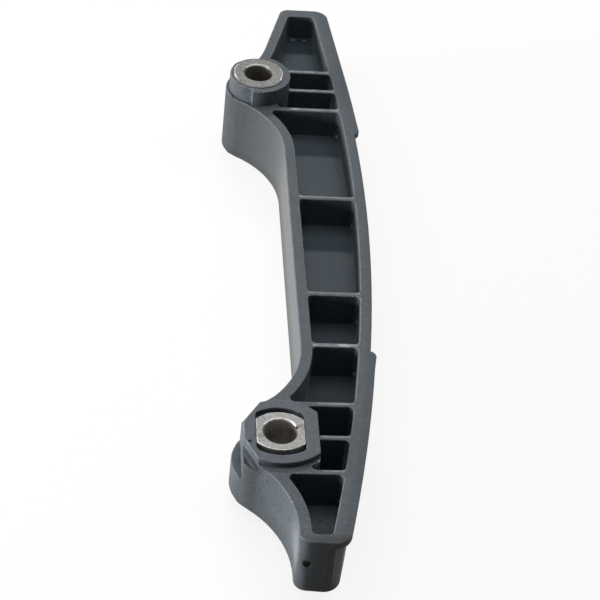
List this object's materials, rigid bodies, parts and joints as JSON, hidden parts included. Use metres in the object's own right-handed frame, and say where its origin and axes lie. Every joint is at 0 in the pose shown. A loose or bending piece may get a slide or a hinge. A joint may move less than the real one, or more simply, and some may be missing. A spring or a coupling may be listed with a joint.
{
  "type": "timing chain guide",
  "caption": "Moulded nylon chain guide rail with a long curved sliding face, ribbed pockets, a round steel bolt sleeve and a floating flatted steel sleeve in a slot.",
  "frame": {"origin": "axis of the round (datum) bolt hole, on the plane that the rail's thick back and the round sleeve's back end rest on", "axes": "+X from the bolt line to the chain face, +Y along the bolt line towards the far end, +Z along the bolts towards their heads"},
  "size_m": [0.0427, 0.2368, 0.0267],
  "materials": {
    "nylon": "satin dark blue-grey glass-filled nylon",
    "steel": "dull grey steel with faced ends"
  },
  "bodies": {
    "rail": {"guide_rail": "nylon", "round_sleeve": "steel"},
    "floating_sleeve": {"flatted_sleeve": "steel"}
  },
  "joints": [
    {"name": "sleeve_slide", "type": "slide", "parent": "rail", "child": "floating_sleeve", "axis": [0, 1, 0], "range_m": [-0.00155, 0.00155]}
  ]
}
